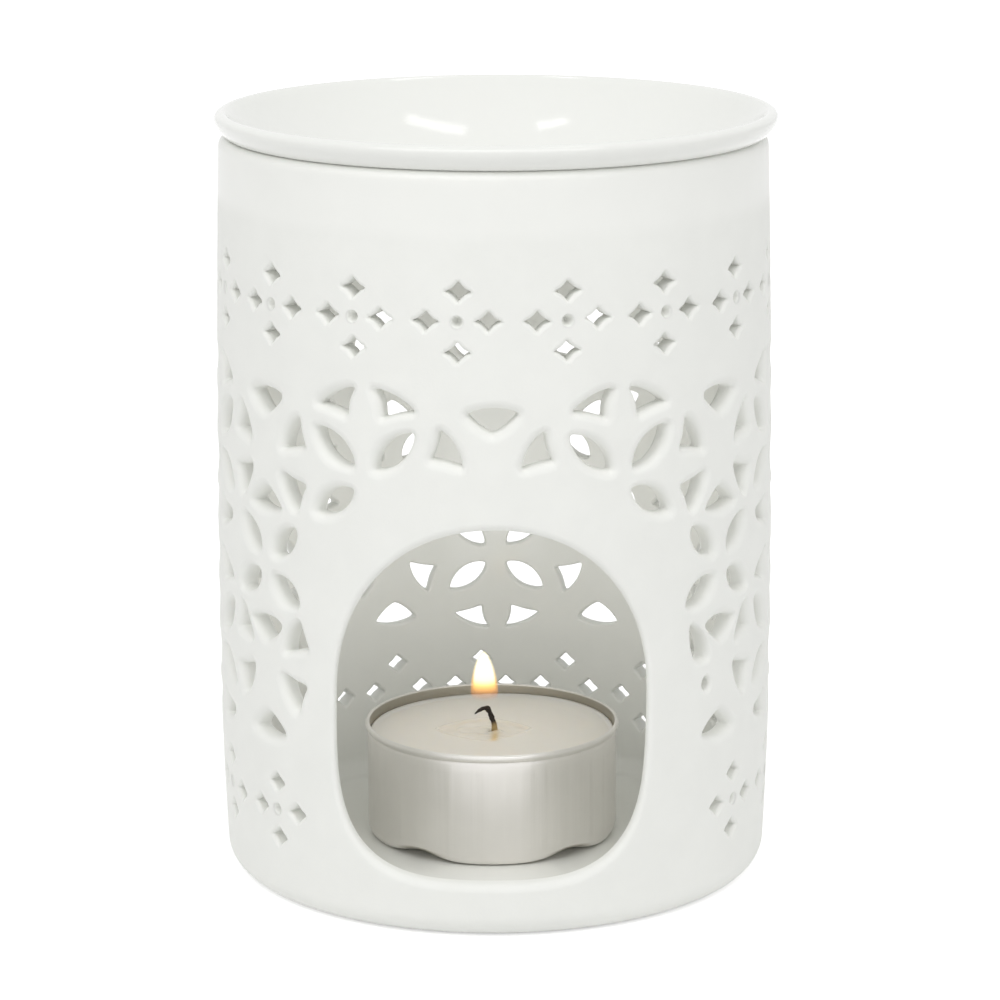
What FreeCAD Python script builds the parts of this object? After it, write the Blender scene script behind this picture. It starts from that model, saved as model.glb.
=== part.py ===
import FreeCAD, Part
import math
import os

# Oil burner: a pierced ceramic body with an arched opening, a loose oil dish that
# rests on its mouth, and a tealight that stands on its floor.
# Millimetres. Origin: centre of the base, on the surface it stands on. +Z is up,
# and the arched opening faces -Y.

V = FreeCAD.Vector

# ---- Driving dimensions: pierced body ---------------------------------------
body_height = 109.8          # base to the flat top of the mouth
belly_radius = 41.3          # widest outer radius
belly_height = 34.0          # height of the widest radius
base_taper = 0.9             # widest radius less the radius at the base
mouth_taper = 1.2            # widest radius less the radius at the mouth
body_wall = 3.0
floor_thickness = 2.4
base_rounding = 3.5          # outside corner of the base
floor_rounding = 3.0         # inside corner of the floor
mouth_rounding = 0.8         # both edges of the mouth

# ---- Driving dimensions: arched opening -------------------------------------
arch_width = 44.0
arch_height = 51.6
arch_lip = 8.2               # base to the lowest edge of the opening
arch_waist = 26.0            # lowest edge up to the widest level of the opening
arch_offset = -0.5           # the opening's middle at its widest level, along X
arch_lean = 0.014            # drift of the middle towards +X, for each mm up
arch_crown_power = 2.13      # roundness of the part above the widest level
arch_foot_power = 3.7        # squareness of the part below it

# ---- Driving dimensions: star clusters --------------------------------------
star_clusters = 17           # places in each ring
star_ring_drop = 20.6        # mouth down to the middle of the upper ring
star_ring_rise = 14.9        # base up to the middle of the lower ring
star_half_width = 2.1
star_half_height = 1.75
star_pinch = 0.3             # how far each side of a star is drawn in
star_reach = 4.3             # cluster's middle to the middle of each star
star_turn = -6.7             # degrees from the front to one cluster's middle
dimple_radius = 0.75
dimple_depth = 0.6
cluster_margin = 9.0         # clusters nearer the arch than this are left out

# ---- Driving dimensions: flower lattice -------------------------------------
flower_columns = 7
drawn_pitch = 36.8           # spacing of the columns for which the outlines are drawn
drawn_row_pitch = 14.8       # spacing of the rows for which they are drawn
drawn_reach = 13.3           # a flower's middle to its farthest tip, as drawn
lattice_gap = 3.0            # star tips to the farthest flower tips
flower_drop = 0.75           # middle row below the halfway level of the star rings
hole_margin = 7.0            # holes nearer the arch than this are left out

# ---- Driving dimensions: oil dish -------------------------------------------
dish_overhang = 1.0          # rim of the dish past the mouth
dish_shift = 0.4             # the loose dish lies a little off the middle, along X
dish_rim_height = 3.6        # crest of the rim above the mouth
dish_rim_widest = 2.6        # level of the widest radius above the mouth
dish_crest_inset = 1.4       # widest radius in to the crest
dish_lip_width = 10.8        # widest radius in to where the lip meets the bowl
dish_lip_drop = 8.2          # crest down to where the lip meets the bowl
dish_lip_bow = 0.008         # rise of each curve over its chord, as a share of it
dish_bowl_bow = 0.09
dish_under_bow = 0.094
dish_depth = 16.0            # crest to the inside of the bowl's bottom
dish_wall = 3.0
dish_floor_radius = 12.0     # flat bottom of the bowl
dish_collar = 2.6            # upright part of the dish inside the mouth
dish_clearance = 0.6         # between that part and the mouth, all round

# ---- Driving dimensions: tealight -------------------------------------------
candle_x = -0.5              # middle of the tealight on the floor
candle_y = 2.7
cup_radius = 18.9            # outside of the cup's side
cup_height = 17.3
cup_wall = 0.3
cup_base_rounding = 1.2
cup_bead = 0.4               # radius of the rolled rim
wax_gap = 0.05               # between the wax and the cup's side
wax_level = 2.0              # rim of the cup down to the wax
pool_radius = 8.5            # shallow melt pool round the wick
pool_depth = 0.6
wick_x = -0.05               # the wick stands a little off the tealight's middle
wick_radius = 0.5
wick_height = 1.9            # straight part above the wax
wick_curl = 1.6              # radius of the wick's bend, towards -X
wick_curl_angle = 140.0      # degrees through which the wick bends over
tab_radius = 6.5             # metal tab that holds the wick upright
tab_thickness = 0.3
tab_neck_radius = 1.5
tab_neck_height = 4.0
wick_clearance = 0.05        # wick in its neck and in the wax

# ---- Sizes that follow ------------------------------------------------------
base_radius = belly_radius - base_taper
mouth_radius = belly_radius - mouth_taper
dish_rim_radius = mouth_radius + dish_overhang
around_body = 2.0 * math.pi * belly_radius
column_pitch = around_body / flower_columns
upper_stars = body_height - star_ring_drop
lower_stars = star_ring_rise
star_tips = star_reach + star_half_height
lattice_half = (upper_stars - lower_stars) / 2.0 - star_tips - lattice_gap
scale_across = column_pitch / drawn_pitch
scale_up = lattice_half / (drawn_row_pitch + drawn_reach)
row_pitch = drawn_row_pitch * scale_up
middle_row = (upper_stars + lower_stars) / 2.0 - flower_drop


def barrel_radius(height):
    """Outer radius of the body: two arcs that meet upright at the belly."""
    if height < belly_height:
        run = belly_height
        sag = belly_radius - base_radius
    else:
        run = body_height - belly_height
        sag = belly_radius - mouth_radius
    bend = (run * run + sag * sag) / (2.0 * sag)
    return belly_radius - bend + math.sqrt(bend * bend - (height - belly_height) ** 2)


def lathe(edges):
    """Solid of revolution about Z from a closed outline in the XZ plane."""
    face = Part.Face(Part.Wire(edges))
    return face.revolve(V(0, 0, 0), V(0, 0, 1), 360)


def line(start, end):
    return Part.LineSegment(start, end).toShape()


def arc(start, middle, end):
    return Part.Arc(start, middle, end).toShape()


def barrel_solid(inset, bottom):
    """Barrel of the body's outline, drawn in by inset, from bottom to the mouth."""
    def point(height):
        return V(barrel_radius(height) - inset, 0, height)
    axis_bottom = V(0, 0, bottom)
    axis_top = V(0, 0, body_height)
    low_middle = (bottom + belly_height) / 2.0
    high_middle = (belly_height + body_height) / 2.0
    return lathe([
        line(axis_bottom, point(bottom)),
        arc(point(bottom), point(low_middle), point(belly_height)),
        arc(point(belly_height), point(high_middle), point(body_height)),
        line(point(body_height), axis_top),
        line(axis_top, axis_bottom),
    ])


def ring_edges(solid, height, radius):
    """Circular edges of a solid at one height and radius."""
    found = []
    for edge in solid.Edges:
        curve = edge.Curve
        if isinstance(curve, Part.Circle):
            level = abs(curve.Center.z - height) < 1e-4
            if level and abs(curve.Radius - radius) < 1e-4:
                found.append(edge)
    return found


def arch_point(turn):
    """Point of the arch's outline, in front view, at a turn in radians."""
    half_width = arch_width / 2.0
    across = math.cos(turn)
    along = math.sin(turn)
    if along >= 0:
        half_height = arch_height - arch_waist
        power = arch_crown_power
    else:
        half_height = arch_waist
        power = arch_foot_power
    x = half_width * math.copysign(abs(across) ** (2.0 / power), across)
    z = half_height * math.copysign(abs(along) ** (2.0 / power), along)
    return arch_offset + arch_lean * z + x, arch_lip + arch_waist + z


def arch_cutter():
    """Prism of the arch's outline, from outside the front wall to mid-body."""
    front = belly_radius + body_wall
    points = []
    steps = 32
    for step in range(steps):
        x, z = arch_point(2.0 * math.pi * (step + 0.5) / steps)
        points.append(V(x, -front, z))
    curve = Part.BSplineCurve()
    curve.interpolate(points, True)
    face = Part.Face(Part.Wire([curve.toShape()]))
    return face.extrude(V(0, front - cup_radius, 0))


def arch_distance(around, height):
    """Least distance, over the surface, from a point to the arch's outline.

    It is negative inside the opening.
    """
    nearest = None
    for step in range(120):
        x, z = arch_point(2.0 * math.pi * step / 120)
        along = belly_radius * math.asin(x / belly_radius)
        gap = math.hypot(around - along, height - z)
        if nearest is None or gap < nearest:
            nearest = gap
    x = belly_radius * math.sin(around / belly_radius)
    rise = height - arch_lip - arch_waist
    if rise >= 0:
        share_up = rise / (arch_height - arch_waist)
        power = arch_crown_power
    else:
        share_up = -rise / arch_waist
        power = arch_foot_power
    share_across = abs(x - arch_offset - arch_lean * rise) / (arch_width / 2.0)
    if abs(around) < belly_radius and share_across ** power + share_up ** power < 1.0:
        return -nearest
    return nearest


def wrapped(around):
    """Distance round the body from the front, between minus and plus half a turn."""
    return (around + around_body / 2.0) % around_body - around_body / 2.0


def curved_outline(corners, bulges, plane):
    """Closed wire in the plane y = plane: one arc from each corner to the next.

    A positive bulge swells the side outwards, a negative one draws it in.
    The corners run counter-clockwise, as seen from the front.
    """
    edges = []
    for index, (x, z) in enumerate(corners):
        next_x, next_z = corners[(index + 1) % len(corners)]
        length = math.hypot(next_x - x, next_z - z)
        out_x = (next_z - z) / length * bulges[index]
        out_z = -(next_x - x) / length * bulges[index]
        middle = V((x + next_x) / 2.0 + out_x, plane, (z + next_z) / 2.0 + out_z)
        edges.append(arc(V(x, plane, z), middle, V(next_x, plane, next_z)))
    return Part.Wire(edges)


def hole_cutter(corners, bulges, around, height):
    """Radial prism of one cut-out, whose corners are measured from its middle."""
    front = belly_radius + body_wall
    back = min(base_radius, mouth_radius) - 2.0 * body_wall
    wire = curved_outline(corners, bulges, -front)
    prism = Part.Face(wire).extrude(V(0, front - back, 0))
    prism.translate(V(0, 0, height))
    prism.rotate(V(0, 0, 0), V(0, 0, 1), math.degrees(around / belly_radius))
    return prism


def flipped(outline, across, up):
    """A cut-out flipped left to right (across -1) or top to bottom (up -1)."""
    corners, bulges = outline
    turned = [(across * x, up * z) for x, z in corners]
    if across * up > 0:
        return turned, bulges
    return turned[::-1], bulges[-2::-1] + bulges[-1:]


def flower_holes():
    """Right half of one flower: leaves, then the ring of curved triangles."""
    return {
        "upper_leaf": ([(1.6, 1.4), (8.0, 7.2)], [1.7, 1.7]),
        "lower_leaf": ([(8.3, -5.6), (1.5, -1.4)], [1.7, 1.7]),
        "north": ([(2.6, 8.9), (7.8, 10.2), (1.3, 13.2)], [-0.2, 0.6, -0.5]),
        "east_upper": ([(10.0, 3.4), (14.8, 2.4), (11.3, 7.9)], [-0.2, 0.7, -0.3]),
        "east_lower": ([(11.8, -6.1), (15.0, -0.6), (10.0, -1.9)], [0.7, -0.2, -0.3]),
        "south": ([(1.2, -12.3), (7.5, -9.7), (2.4, -8.5)], [0.6, -0.2, -0.5]),
    }


def placed_hole(outline, around, height):
    """Cut-out of a motif whose corners are measured from the motif's middle.

    It is moved to its own middle, so that it is cut straight towards the axis.
    Nothing is cut where the arch is too near.
    """
    corners, bulges = outline
    scaled = [(x * scale_across, z * scale_up) for x, z in corners]
    middle_x = sum(x for x, z in scaled) / len(scaled)
    middle_z = sum(z for x, z in scaled) / len(scaled)
    own_around = wrapped(around + middle_x)
    own_height = height + middle_z
    if arch_distance(own_around, own_height) < hole_margin:
        return []
    own_corners = [(x - middle_x, z - middle_z) for x, z in scaled]
    own_bulges = [bulge * min(scale_across, scale_up) for bulge in bulges]
    return [hole_cutter(own_corners, own_bulges, own_around, own_height)]


def flower(around, height, leaves_only):
    """Cut-outs of one flower, both halves."""
    cutters = []
    for name, outline in flower_holes().items():
        if leaves_only and "leaf" not in name:
            continue
        cutters += placed_hole(outline, around, height)
        cutters += placed_hole(flipped(outline, -1, 1), around, height)
    return cutters


def between_flowers(around, height, up):
    """Flat triangles in the gap between two flowers of one row, tips upright.

    One lies beyond the flowers' middles, on the side up, and one within them.
    """
    outer = ([(0.0, 7.2), (3.9, 10.2), (-3.9, 10.2)], [0.3, 0.8, 0.3])
    inner = ([(0.0, -3.4), (-3.9, -6.3), (3.9, -6.3)], [0.3, 0.7, 0.3])
    cutters = placed_hole(flipped(outer, 1, up), around, height)
    cutters += placed_hole(flipped(inner, 1, up), around, height)
    return cutters


def lattice():
    """Three rows of flowers; the middle row stands in the gaps of the other two."""
    upper_row = middle_row + row_pitch
    lower_row = middle_row - row_pitch
    cutters = []
    for column in range(flower_columns):
        gap = wrapped(column_pitch * column)
        on_column = wrapped(column_pitch * (column + 0.5))
        cutters += flower(gap, middle_row, True)
        cutters += flower(on_column, upper_row, False)
        cutters += flower(on_column, lower_row, False)
        cutters += between_flowers(gap, upper_row, 1)
        cutters += between_flowers(gap, lower_row, -1)
    return cutters


def star(around, height):
    """One four-pointed star with drawn-in sides."""
    corners = [
        (star_half_width, 0.0),
        (0.0, star_half_height),
        (-star_half_width, 0.0),
        (0.0, -star_half_height),
    ]
    return hole_cutter(corners, [-star_pinch] * 4, around, height)


def dimple(around, height):
    """Blind round dimple in the middle of a cluster: a ball that dips in."""
    ball_radius = (dimple_radius ** 2 + dimple_depth ** 2) / (2.0 * dimple_depth)
    out = barrel_radius(height) + ball_radius - dimple_depth
    ball = Part.makeSphere(ball_radius, V(0, -out, height))
    ball.rotate(V(0, 0, 0), V(0, 0, 1), math.degrees(around / belly_radius))
    return ball


def star_ring(height):
    """Ring of clusters: four stars about a dimple, left out round the arch."""
    pitch = around_body / star_clusters
    start = math.radians(star_turn) * belly_radius
    cutters = []
    for place in range(star_clusters):
        around = wrapped(start + pitch * place)
        if arch_distance(around, height) < cluster_margin:
            continue
        cutters.append(star(around - star_reach, height))
        cutters.append(star(around + star_reach, height))
        cutters.append(star(around, height - star_reach))
        cutters.append(star(around, height + star_reach))
        cutters.append(dimple(around, height))
    return cutters


def pierced_body():
    outside = barrel_solid(0.0, 0.0)
    inside = barrel_solid(body_wall, floor_thickness)
    base_edge = ring_edges(outside, 0.0, base_radius)
    outside = outside.makeFillet(base_rounding, base_edge)
    floor_radius = barrel_radius(floor_thickness) - body_wall
    floor_edge = ring_edges(inside, floor_thickness, floor_radius)
    inside = inside.makeFillet(floor_rounding, floor_edge)
    shell = outside.cut(inside)
    mouth_edges = ring_edges(shell, body_height, mouth_radius)
    mouth_edges += ring_edges(shell, body_height, mouth_radius - body_wall)
    shell = shell.makeFillet(mouth_rounding, mouth_edges)
    cutters = [arch_cutter()]
    cutters += star_ring(upper_stars)
    cutters += star_ring(lower_stars)
    cutters += lattice()
    print("cut-outs in the body:", len(cutters))
    return shell.cut(cutters)


def bowed(start, end, share):
    """Middle of an arc from start to end that bulges to the right of its way."""
    chord = end - start
    bulge = V(chord.z, 0, -chord.x) * share
    return (start + end) * 0.5 + bulge


def oil_dish():
    """Shallow bowl with a flared lip; the lip sits on the mouth, the collar inside it."""
    seat = body_height
    crest_level = seat + dish_rim_height
    widest_level = seat + dish_rim_widest
    inner_floor = crest_level - dish_depth
    outer_floor = inner_floor - dish_wall
    seat_radius = mouth_radius - mouth_rounding
    collar_radius = mouth_radius - body_wall - dish_clearance
    turn = math.sqrt(0.5)
    floor_middle = V(0, 0, inner_floor)
    floor_edge = V(dish_floor_radius, 0, inner_floor)
    throat = V(dish_rim_radius - dish_lip_width, 0, crest_level - dish_lip_drop)
    crest = V(dish_rim_radius - dish_crest_inset, 0, crest_level)
    outer_crest = V(
        crest.x + dish_crest_inset * turn, 0,
        widest_level + (crest_level - widest_level) * turn)
    widest = V(dish_rim_radius, 0, widest_level)
    skirt = V((seat_radius + dish_rim_radius) / 2.0 + 0.35, 0, (seat + widest_level) / 2.0 - 0.15)
    seat_edge = V(seat_radius, 0, seat)
    collar_top = V(collar_radius, 0, seat)
    collar_bottom = V(collar_radius, 0, seat - dish_collar)
    under_edge = V(dish_floor_radius, 0, outer_floor)
    under_middle = V(0, 0, outer_floor)
    dish = lathe([
        line(floor_middle, floor_edge),
        arc(floor_edge, bowed(floor_edge, throat, dish_bowl_bow), throat),
        arc(throat, bowed(throat, crest, -dish_lip_bow), crest),
        arc(crest, outer_crest, widest),
        arc(widest, skirt, seat_edge),
        line(seat_edge, collar_top),
        line(collar_top, collar_bottom),
        arc(collar_bottom, bowed(collar_bottom, under_edge, -dish_under_bow), under_edge),
        line(under_edge, under_middle),
        line(under_middle, floor_middle),
    ])
    dish.translate(V(dish_shift, 0, 0))
    return dish


def tealight_cup():
    """Pressed cup with a rolled rim, its base on the floor, built about Z."""
    base = floor_thickness
    rim = base + cup_height
    inside_radius = cup_radius - cup_wall
    inside_rounding = cup_base_rounding - cup_wall
    turn = math.sqrt(0.5)
    outer_corner = V(
        cup_radius - cup_base_rounding * (1.0 - turn), 0,
        base + cup_base_rounding * (1.0 - turn))
    inner_corner = V(
        inside_radius - inside_rounding * (1.0 - turn), 0,
        base + cup_wall + inside_rounding * (1.0 - turn))
    bead_bottom = V(cup_radius, 0, rim - 2.0 * cup_bead)
    cup = lathe([
        line(V(0, 0, base), V(cup_radius - cup_base_rounding, 0, base)),
        arc(V(cup_radius - cup_base_rounding, 0, base), outer_corner,
            V(cup_radius, 0, base + cup_base_rounding)),
        line(V(cup_radius, 0, base + cup_base_rounding), bead_bottom),
        arc(bead_bottom, V(cup_radius + cup_bead, 0, rim - cup_bead), V(cup_radius, 0, rim)),
        line(V(cup_radius, 0, rim), V(inside_radius, 0, rim)),
        line(V(inside_radius, 0, rim), V(inside_radius, 0, base + cup_base_rounding)),
        arc(V(inside_radius, 0, base + cup_base_rounding), inner_corner,
            V(cup_radius - cup_base_rounding, 0, base + cup_wall)),
        line(V(cup_radius - cup_base_rounding, 0, base + cup_wall), V(0, 0, base + cup_wall)),
        line(V(0, 0, base + cup_wall), V(0, 0, base)),
    ])
    cup.translate(V(candle_x, candle_y, 0))
    return cup


def cup_inside():
    """Height of the cup's inner bottom, where the wax, tab and wick stand."""
    return floor_thickness + cup_wall


def wax_top():
    return floor_thickness + cup_height - wax_level


def wick_axis(height):
    return V(wick_x, candle_y, height)


def wick_sustainer():
    """Pressed metal tab with a neck that grips the wick."""
    up = V(0, 0, 1)
    disc = Part.makeCylinder(tab_radius, tab_thickness, wick_axis(cup_inside()), up)
    neck = Part.makeCylinder(tab_neck_radius, tab_neck_height, wick_axis(cup_inside()), up)
    bore_radius = wick_radius + wick_clearance
    bore = Part.makeCylinder(bore_radius, tab_neck_height, wick_axis(cup_inside()), up)
    return disc.fuse(neck).removeSplitter().cut(bore)


def tealight_wick():
    """Wick from the cup's bottom through the wax, its charred end bent over."""
    low = wick_axis(cup_inside())
    bend_start = wick_axis(wax_top() + wick_height)
    centre = bend_start - V(wick_curl, 0, 0)
    half = math.radians(wick_curl_angle / 2.0)
    full = math.radians(wick_curl_angle)
    bend_middle = centre + V(wick_curl * math.cos(half), 0, wick_curl * math.sin(half))
    bend_end = centre + V(wick_curl * math.cos(full), 0, wick_curl * math.sin(full))
    path = Part.Wire([line(low, bend_start), arc(bend_start, bend_middle, bend_end)])
    section = Part.Wire([Part.Circle(low, V(0, 0, 1), wick_radius).toShape()])
    return path.makePipeShell([section], True, True)


def tealight_wax():
    """Wax cast in the cup round the tab and the wick, with a shallow melt pool."""
    radius = cup_radius - cup_wall - wax_gap
    bottom = V(candle_x, candle_y, cup_inside())
    height = wax_top() - cup_inside()
    up = V(0, 0, 1)
    wax = Part.makeCylinder(radius, height, bottom, up)
    wax = wax.makeFillet(cup_base_rounding, [
        edge for edge in wax.Edges
        if isinstance(edge.Curve, Part.Circle)
        and abs(edge.Curve.Center.z - cup_inside()) < 1e-4])
    ball_radius = (pool_radius ** 2 + pool_depth ** 2) / (2.0 * pool_depth)
    pool = Part.makeSphere(ball_radius, wick_axis(wax_top() - pool_depth + ball_radius))
    wick_hole = Part.makeCylinder(
        wick_radius + wick_clearance, height, wick_axis(cup_inside()), up)
    return wax.cut([pool, wick_hole, wick_sustainer()])


def main():
    pieces = {
        "pierced_body": pierced_body(),
        "oil_dish": oil_dish(),
        "tealight_cup": tealight_cup(),
        "tealight_wax": tealight_wax(),
        "tealight_wick": tealight_wick(),
        "wick_sustainer": wick_sustainer(),
    }
    os.makedirs("parts", exist_ok=True)
    for name, shape in pieces.items():
        print(name, "valid", shape.isValid(), "solids", len(shape.Solids),
              "volume", round(shape.Volume, 2))
        shape.exportStep("parts/" + name + ".step")


main()
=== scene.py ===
import math

import bpy
import numpy as np
from mathutils import Matrix, Vector
from mathutils.geometry import delaunay_2d_cdt


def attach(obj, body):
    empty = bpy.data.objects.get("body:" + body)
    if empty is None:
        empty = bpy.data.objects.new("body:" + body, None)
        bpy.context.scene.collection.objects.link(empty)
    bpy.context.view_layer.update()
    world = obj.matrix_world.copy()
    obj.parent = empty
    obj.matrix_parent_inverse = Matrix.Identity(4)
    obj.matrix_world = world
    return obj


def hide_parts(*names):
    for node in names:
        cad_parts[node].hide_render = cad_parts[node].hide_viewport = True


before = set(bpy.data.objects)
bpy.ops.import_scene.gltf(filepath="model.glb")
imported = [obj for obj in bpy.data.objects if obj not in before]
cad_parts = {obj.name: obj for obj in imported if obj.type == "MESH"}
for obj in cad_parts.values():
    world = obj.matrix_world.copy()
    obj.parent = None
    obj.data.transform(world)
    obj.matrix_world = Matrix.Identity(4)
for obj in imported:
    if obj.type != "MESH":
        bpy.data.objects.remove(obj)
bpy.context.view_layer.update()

# Oil burner. Shapes are worked out in millimetres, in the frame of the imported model:
# Z up from the surface it stands on, the arched opening towards -Y.
# "around" is a distance round the body from the front, at ROUND_RADIUS, + towards +X.

MM = 0.001
dice = np.random.default_rng(41)

# ---- Body ----
ROUND_RADIUS = 41.0
BELLY_RADIUS = 41.3
BELLY_HEIGHT = 34.0
BASE_TAPER = 0.9
MOUTH_TAPER = 1.2
BODY_HEIGHT = 109.8
BODY_WALL = 3.0
FLOOR = 2.4
BASE_ROUNDING = 3.5
FLOOR_ROUNDING = 3.0
MOUTH_ROUNDING = 0.8
MOUTH_EDGE = 1.5
SHEET_LOW = 6.5
SHEET_HIGH = 100.0
COLUMNS = 180
WAY_ROUND = 2.0 * math.pi * ROUND_RADIUS

# ---- Arched opening ----
ARCH_HALF_WIDTH = 22.0
ARCH_LIP = 8.2
ARCH_WAIST = 26.0
ARCH_RISE = 25.6
ARCH_OFFSET = -0.5
ARCH_LEAN = 0.014
ARCH_CROWN_POWER = 2.13
ARCH_FOOT_POWER = 3.7
ARCH_ROUNDING = 1.3
ARCH_INNER_ROUNDING = 0.8
HOLE_MARGIN = 7.4
CLUSTER_MARGIN = 9.0

# ---- Cut-outs ----
FLOWER_COLUMNS = 7
FLOWER_PITCH = WAY_ROUND / FLOWER_COLUMNS
FLOWER_ROWS = (66.1, 51.3, 36.5)
HOLE_ROUNDING = 1.5
HOLE_INNER_ROUNDING = 0.5
STAR_ROUNDING = 0.7
HOLE_SCALE = 0.95
HOLE_SOFTENING = 0.38
HOLE_TILT = 1.2
HOLE_SCATTER = 0.09
ROUNDING_SHARE = 0.4
STAR_CLUSTERS = 17
STAR_FIRST = -4.8
STAR_ROWS = (89.2, 14.9)
STAR_SHIFTS = ((4.35, 0.0), (-4.35, 0.0), (0.0, 4.15), (0.0, -4.25))
DIMPLE_DEPTH = 2.0
DIMPLE_RADIUS = 1.05
NET_STEP = 2.4
NET_COLUMNS = 90

# ---- Dish ----
DISH_SHIFT = 0.4
DISH_FOOT = 94.4
DISH_BOTTOM = 97.4

# ---- Tealight ----
CANDLE = np.array([-0.5, 2.7, 0.0])
CUP_SIDE = 18.72
CUP_DENT, CUP_DENT_WIDTH = -0.12, 0.38
CUP_LIFTS = ((1.4, -36.0, 9.0), (1.4, 39.0, 9.0), (0.6, 95.0, 12.0), (0.8, 170.0, 14.0),
             (0.7, -110.0, 12.0))
CUP_STREAKS = ((23, 0.02, 0.3), (41, 0.018, 1.7), (67, 0.012, 4.0), (97, 0.008, 2.2))
WAX_RADIUS = 18.5
WAX_TOP = 17.75
POOL_HALF_WIDTH = 6.9
POOL_HALF_DEPTH = 5.5
POOL_POWER = 1.35
WICK_HOLE = 0.56


# ==== Curves and surfaces ====

def full_turn(count):
    """Equally spaced angles once round."""
    return 2.0 * math.pi * np.arange(count) / count


def quarter_turn(steps):
    return np.linspace(0.0, math.pi / 2.0, steps + 1)


def unit(vectors):
    return vectors / np.linalg.norm(vectors, axis=-1, keepdims=True)


def to_the_right(directions):
    """Directions in the plane, turned clockwise by a right angle."""
    return np.stack([directions[:, 1], -directions[:, 0]], 1)


def round_z(radius, angle, height):
    """Points at a radius and height, turned by angle from the front towards +X."""
    return np.stack([radius * np.sin(angle), -radius * np.cos(angle), height], -1)


def resampled(points, step, closed):
    """Points at equal distances along a polyline, near step apart."""
    if closed:
        points = np.concatenate([points, points[:1]])
    run = running(np.hypot(*np.diff(points, axis=0).T))
    count = max(int(round(run[-1] / step)), 8)
    at = np.linspace(0.0, run[-1], count + 1)
    if closed:
        at = at[:-1]
    return along_run(at, run, points)


def running(lengths):
    """Sums of the lengths so far, from 0."""
    return np.concatenate([[0.0], np.cumsum(lengths)])


def along_run(at, run, values):
    """Pairs of values interpolated at places along a run."""
    return np.stack([np.interp(at, run, values[:, k]) for k in (0, 1)], 1)


def softened(points, sigma, closed=True, step=0.08):
    """Polyline averaged along its length with a bell of width sigma.

    An open one keeps its ends: it is continued there by its own point reflection.
    """
    points = resampled(points, step, closed)
    reach = int(math.ceil(3.0 * sigma / step))
    bell = np.exp(-0.5 * (np.arange(-reach, reach + 1) * step / sigma) ** 2)
    bell /= bell.sum()
    if closed:
        padded = np.concatenate([points[-reach:], points, points[:reach]])
    else:
        before = 2.0 * points[:1] - points[reach:0:-1]
        after = 2.0 * points[-1:] - points[-2:-reach - 2:-1]
        padded = np.concatenate([before, points, after])
    return np.stack([np.convolve(padded[:, k], bell, "valid") for k in (0, 1)], 1)


def tangents(points, closed=True):
    """Unit directions along a polyline: the difference of the two neighbours."""
    if closed:
        along = np.roll(points, -1, 0) - np.roll(points, 1, 0)
    else:
        along = np.gradient(points, axis=0)
    return along / np.maximum(np.linalg.norm(along, axis=1, keepdims=True), 1e-12)


def thinned(points, longest, turn_length, closed=True):
    """Fewer points of a fine polyline, and its unit directions there.

    Points are equally spaced in length plus turn_length times the angle turned, so
    they gather where the curve bends. No two are further apart than longest.
    """
    direction = tangents(points, closed)
    if closed:
        points = np.concatenate([points, points[:1]])
        direction = np.concatenate([direction, direction[:1]])
    length = np.linalg.norm(np.diff(points, axis=0), axis=1)
    angle = np.arccos(np.clip((direction[1:] * direction[:-1]).sum(1), -1.0, 1.0))
    run = running(length + turn_length * angle)
    at = np.linspace(0.0, run[-1], int(math.ceil(run[-1] / longest)) + 1)
    if closed:
        at = at[:-1]
    return along_run(at, run, points), unit(along_run(at, run, direction))


def bands(rows, columns, first=0):
    """Quads of a grid of rows, closed along each row: a row's turn by the way to the next."""
    here = np.arange(columns)
    ahead = (here + 1) % columns
    low = first + columns * np.arange(rows - 1)[:, None]
    high = low + columns
    return np.stack([low + here, low + ahead, high + ahead, high + here], -1).reshape(-1, 4)


def fan(ring, pole, flip=False):
    """Triangles from a closed ring of point numbers to one pole."""
    ahead = np.roll(ring, -1)
    tip = np.full(len(ring), pole)
    faces = np.stack([ring, ahead, tip], 1)
    return faces[:, ::-1] if flip else faces


def make_piece(name, points, faces, normals=None, marks=None):
    """Mesh object at the origin from points in millimetres and arrays of faces."""
    mesh = bpy.data.meshes.new(name)
    mesh.vertices.add(len(points))
    mesh.vertices.foreach_set("co", (np.asarray(points) * MM).astype(np.float32).ravel())
    sizes = np.concatenate([np.full(len(f), f.shape[1]) for f in faces])
    corners = np.concatenate([f.ravel() for f in faces]).astype(np.int32)
    mesh.loops.add(len(corners))
    mesh.loops.foreach_set("vertex_index", corners)
    mesh.polygons.add(len(sizes))
    mesh.polygons.foreach_set("loop_start", (np.cumsum(sizes) - sizes).astype(np.int32))
    for mark, values in (marks or {}).items():
        layer = mesh.attributes.new(mark, "FLOAT", "POINT")
        layer.data.foreach_set("value", np.asarray(values, np.float32))
    mesh.update(calc_edges=True)
    mesh.shade_smooth()
    if normals is not None:
        mesh.normals_split_custom_set_from_vertices(np.asarray(normals).tolist())
    return in_scene(name, mesh)


def in_scene(name, data):
    obj = bpy.data.objects.new(name, data)
    bpy.context.scene.collection.objects.link(obj)
    return obj


def turned(profile, columns):
    """Profile of (radius, height) points carried round Z: x = r sin a, y = -r cos a.

    The grid has one row for each profile point. It runs from the underside's middle,
    out, up and over the top, so that its quads face outwards.
    """
    height = np.broadcast_to(profile[:, 1:], (len(profile), columns))
    return round_z(profile[:, :1], full_turn(columns), height)


def closed_grid(grid, first_pole, last_pole):
    """Points and faces of a grid closed along its rows, with a pole beyond each end."""
    rows, columns = grid.shape[:2]
    ring = np.arange(columns)
    points = np.concatenate([grid.reshape(-1, 3), [first_pole, last_pole]])
    return points, [
        bands(rows, columns),
        fan(ring, rows * columns, flip=True),
        fan(ring + (rows - 1) * columns, rows * columns + 1),
    ]


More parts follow.
